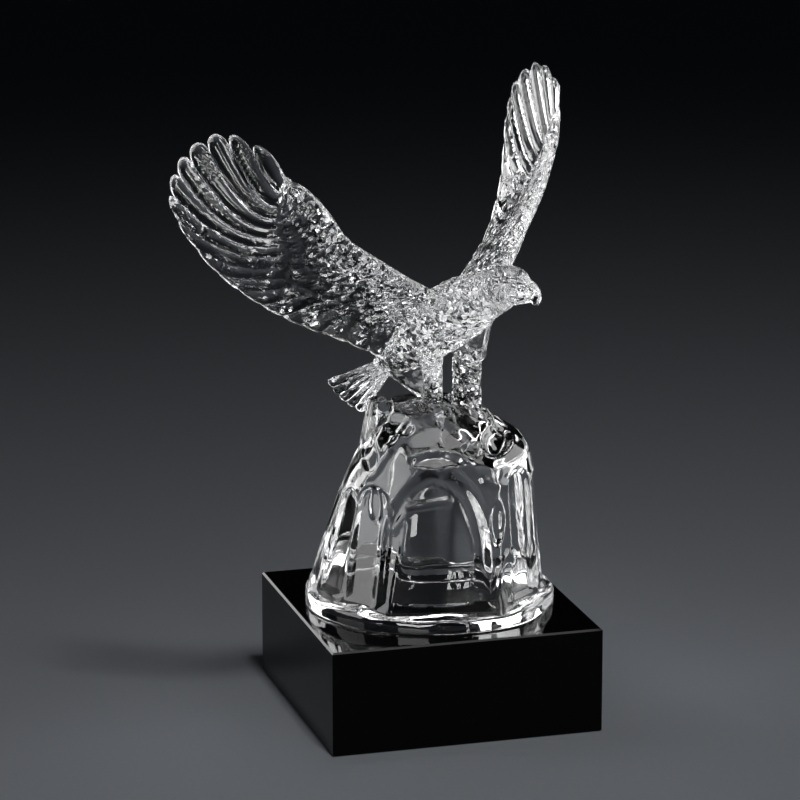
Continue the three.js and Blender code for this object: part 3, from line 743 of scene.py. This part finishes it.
def black_cement():
    """The thin black film that holds the rock to its plinth, a little uneven where it spread."""
    material, tree = new_material("black_cement")
    place = add(tree, "ShaderNodeTexCoord")
    spread = add(tree, "ShaderNodeTexNoise", {"Scale": per_metre(8), "Detail": 3.0},
                 {"Vector": place.outputs["Object"]})
    shade = add(tree, "ShaderNodeMix", {"data_type": "RGBA", 6: linear("#040405"), 7: linear("#0a0a0b")},
                {0: spread.outputs["Fac"]})
    film = add(tree, "ShaderNodeBsdfPrincipled", {"Roughness": 0.25, "Specular IOR Level": 0.05},
               {"Base Color": shade.outputs[2]})
    add(tree, "ShaderNodeOutputMaterial", {}, {"Surface": film.outputs["BSDF"]})
    return material


def polished_black_crystal():
    """Black optical glass, ground and polished: near-black body with a clear, mirror-like face that
    shows the faintest polishing haze, in clouds 16 mm wide."""
    material, tree = new_material("polished_black_crystal")
    place = add(tree, "ShaderNodeTexCoord")
    haze = add(tree, "ShaderNodeTexNoise", {"Scale": per_metre(16), "Detail": 4.0},
               {"Vector": place.outputs["Object"]})
    gloss = add(tree, "ShaderNodeMapRange", {"To Min": 0.03, "To Max": 0.07},
                {"Value": haze.outputs["Fac"]})
    shade = add(tree, "ShaderNodeMix", {"data_type": "RGBA", 6: linear("#010101"), 7: linear("#020203")},
                {0: haze.outputs["Fac"]})
    glass = add(tree, "ShaderNodeBsdfPrincipled", {"IOR": 1.52, "Specular IOR Level": 0.14},
                {"Base Color": shade.outputs[2], "Roughness": gloss.outputs["Result"]})
    add(tree, "ShaderNodeOutputMaterial", {}, {"Surface": glass.outputs["BSDF"]})
    return material


def matt_pale_paper():
    """The studio's plain pale floor: matt paper with a faint fibre grain, drawn 2.5 mm wide so that
    it shows."""
    material, tree = new_material("matt_pale_paper")
    place = add(tree, "ShaderNodeTexCoord")
    grain = add(tree, "ShaderNodeTexNoise", {"Scale": per_metre(2.5), "Detail": 2.0},
                {"Vector": place.outputs["Object"]})
    shade = add(tree, "ShaderNodeMix", {"data_type": "RGBA", 6: linear("#c2c8d0"), 7: linear("#c9ced6")},
                {0: grain.outputs["Fac"]})
    paper = add(tree, "ShaderNodeBsdfPrincipled", {"Roughness": 0.8, "Specular IOR Level": 0.2},
                {"Base Color": shade.outputs[2]})
    add(tree, "ShaderNodeOutputMaterial", {}, {"Surface": paper.outputs["BSDF"]})
    return material


# the part

eagle = crystal()
eagle.data.materials.clear()
eagle.data.materials.append(fire_polished_lead_crystal())
eagle.data.materials.append(black_cement())
cement_underside(eagle.data)
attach(eagle, "root")
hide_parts("crystal_eagle_and_rock")

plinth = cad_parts["black_plinth"]
plinth.data.materials.clear()
plinth.data.materials.append(polished_black_crystal())


# studio

floor_mesh = bpy.data.meshes.new("studio_floor")
floor_mesh.from_pydata([(-4, -3, 0), (4, -3, 0), (4, 5, 0), (-4, 5, 0)], [], [(0, 1, 2, 3)])
floor = bpy.data.objects.new("studio_floor", floor_mesh)
bpy.context.collection.objects.link(floor)
floor_mesh.materials.append(matt_pale_paper())


def aimed(made, place, target):
    """Puts a light or camera at a place and turns it to the target."""
    made.location = place
    made.rotation_euler = (Vector(target) - Vector(place)).to_track_quat("-Z", "Y").to_euler()
    return made


# The soft boxes stand behind flags that keep their light off the floor, so that it stays plain
# and only the crystal and the plinth catch their bright shapes.
flagged = bpy.data.collections.new("lit_by_soft_boxes")
for lit in (eagle, plinth):
    flagged.objects.link(lit)


def soft_box(name, place, target, wide, tall, brightness):
    """A lamp behind diffusing cloth: its power is its radiance times pi times its area."""
    light = bpy.data.lights.new(name, "AREA")
    light.shape, light.size, light.size_y = "RECTANGLE", wide, tall
    light.energy = brightness * np.pi * wide * tall
    made = bpy.data.objects.new(name, light)
    bpy.context.collection.objects.link(made)
    made.light_linking.receiver_collection = flagged
    return aimed(made, place, target)


MIDDLE, WING_TIP, LEGS = (0, 0, 0.17), (-0.11, -0.03, 0.26), (0.01, 0.0, 0.16)
for name, place, target, wide, tall, brightness in (
        ("left_soft_box", (-1.2, 0.1, 0.5), MIDDLE, 0.9, 1.2, 3.4),
        ("right_soft_box", (1.2, 0.2, 0.5), MIDDLE, 0.9, 1.2, 3.4),
        ("front_left_strip", (-0.62, -1.2, 0.5), MIDDLE, 0.2, 0.9, 9),
        ("front_right_strip", (0.95, -1.1, 0.5), MIDDLE, 0.2, 0.9, 7),
        ("top_soft_box", (0.1, 0.0, 1.35), MIDDLE, 1.1, 0.8, 3.5),
        ("back_left_soft_box", (-0.6, 1.18, 0.35), MIDDLE, 0.5, 0.9, 4),
        ("low_left_soft_box", (-0.46, -0.42, 0.085), WING_TIP, 0.07, 0.1, 6),
        ("low_right_soft_box", (0.42, -0.62, 0.22), LEGS, 0.16, 0.16, 8)):
    soft_box(name, place, target, wide, tall, brightness)

# A wide lamp overhead lays a soft pool of light on the floor in front.
pool = bpy.data.lights.new("floor_pool", "SPOT")
pool.energy = 17
pool.spot_size, pool.spot_blend, pool.shadow_soft_size = np.radians(112), 1.0, 0.12
pool_lamp = bpy.data.objects.new("floor_pool", pool)
bpy.context.collection.objects.link(pool_lamp)
aimed(pool_lamp, (0.0, -0.7, 1.5), (0.0, -0.62, 0.0))

world = bpy.data.worlds.new("dark_studio")
bpy.context.scene.world = world
world.use_nodes = True
world.node_tree.nodes["Background"].inputs["Color"].default_value = linear("#2a2d33")
world.node_tree.nodes["Background"].inputs["Strength"].default_value = 0.1

# The camera stands 16 degrees round to the left of the front and 15 degrees up, nearly two metres
# away, with a long lens.
TURN, RISE, DISTANCE, LENS = np.radians(-16.11), np.radians(14.96), 1.944, 187.7
AIM_RIGHT, AIM_UP = -0.0133, 0.1398
back = np.array([np.sin(TURN) * np.cos(RISE), -np.cos(TURN) * np.cos(RISE), np.sin(RISE)])
right = np.array([np.cos(TURN), np.sin(TURN), 0])
above = np.cross(back, right)
camera_data = bpy.data.cameras.new("camera")
camera_data.lens, camera_data.sensor_width = LENS, 36
camera_data.clip_end = 50
camera = bpy.data.objects.new("camera", camera_data)
bpy.context.collection.objects.link(camera)
stand = right * AIM_RIGHT + above * AIM_UP + back * DISTANCE
camera.matrix_world = Matrix([*np.stack([right, above, back, stand], -1).tolist(), [0, 0, 0, 1]])
bpy.context.scene.camera = camera

# Light crosses many faces inside cut crystal before it leaves, so its path may be long, and the
# picture keeps the bright whites of the studio.
studio = bpy.context.scene
studio.cycles.max_bounces, studio.cycles.transmission_bounces, studio.cycles.glossy_bounces = 40, 32, 24
studio.view_settings.view_transform = "Standard"
